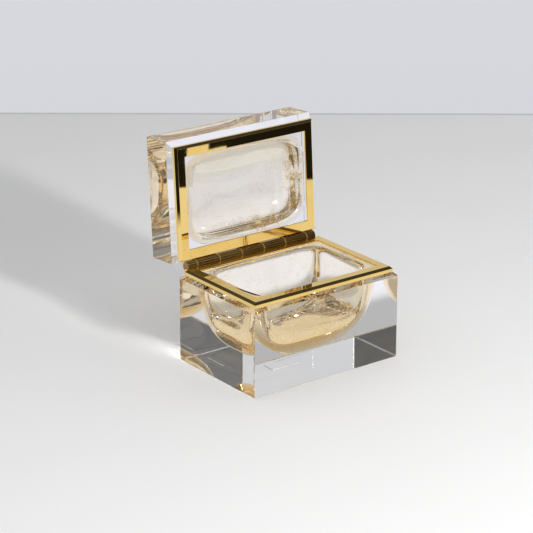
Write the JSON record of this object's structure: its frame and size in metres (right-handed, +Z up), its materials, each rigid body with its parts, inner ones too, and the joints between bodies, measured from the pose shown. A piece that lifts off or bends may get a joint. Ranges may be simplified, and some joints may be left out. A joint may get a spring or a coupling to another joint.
{
  "type": "hinged glass box",
  "caption": "Small rectangular clear glass box with a hollow lined in gold-flecked amber glass, brass rim frames and a full-width brass barrel hinge, lid standing open.",
  "frame": {"origin": "middle of the flat underside of the glass base", "axes": "+X along the hinge, to the right seen from the front; +Y from the front towards the hinge; +Z up. The lid is stored open against its stop"},
  "size_m": [0.12, 0.1195, 0.1494],
  "materials": {
    "clear_glass": "clear, fully polished",
    "amber_glass": "pale amber glass with fine gold flecks and bubbles, polished",
    "polished_brass": "mirror polished",
    "hinge_brass": "polished, slightly toned",
    "adhesive": "thin translucent bond line",
    "label_paper": "blank matt paper"
  },
  "bodies": {
    "base": {"base_glass_block": "clear_glass", "base_amber_lining": "amber_glass", "base_rim_bond": "adhesive", "base_front_rail": "polished_brass", "base_back_rail": "polished_brass", "base_left_rail": "polished_brass", "base_right_rail": "polished_brass", "underside_label": "label_paper", "hinge_knuckle_1": "hinge_brass", "hinge_knuckle_3": "hinge_brass", "hinge_knuckle_5": "hinge_brass", "hinge_knuckle_7": "hinge_brass", "hinge_pin": "hinge_brass"},
    "lid": {"lid_glass_block": "clear_glass", "lid_amber_lining": "amber_glass", "lid_rim_bond": "adhesive", "lid_front_rail": "polished_brass", "lid_back_rail": "polished_brass", "lid_left_rail": "polished_brass", "lid_right_rail": "polished_brass", "hinge_knuckle_2": "hinge_brass", "hinge_knuckle_4": "hinge_brass", "hinge_knuckle_6": "hinge_brass"}
  },
  "joints": [
    {"name": "lid_hinge", "type": "hinge", "parent": "base", "child": "lid", "pos_m": [0, 0.0427, 0.0649], "axis": [-1, 0, 0], "range_deg": [-93.7, 0]}
  ]
}
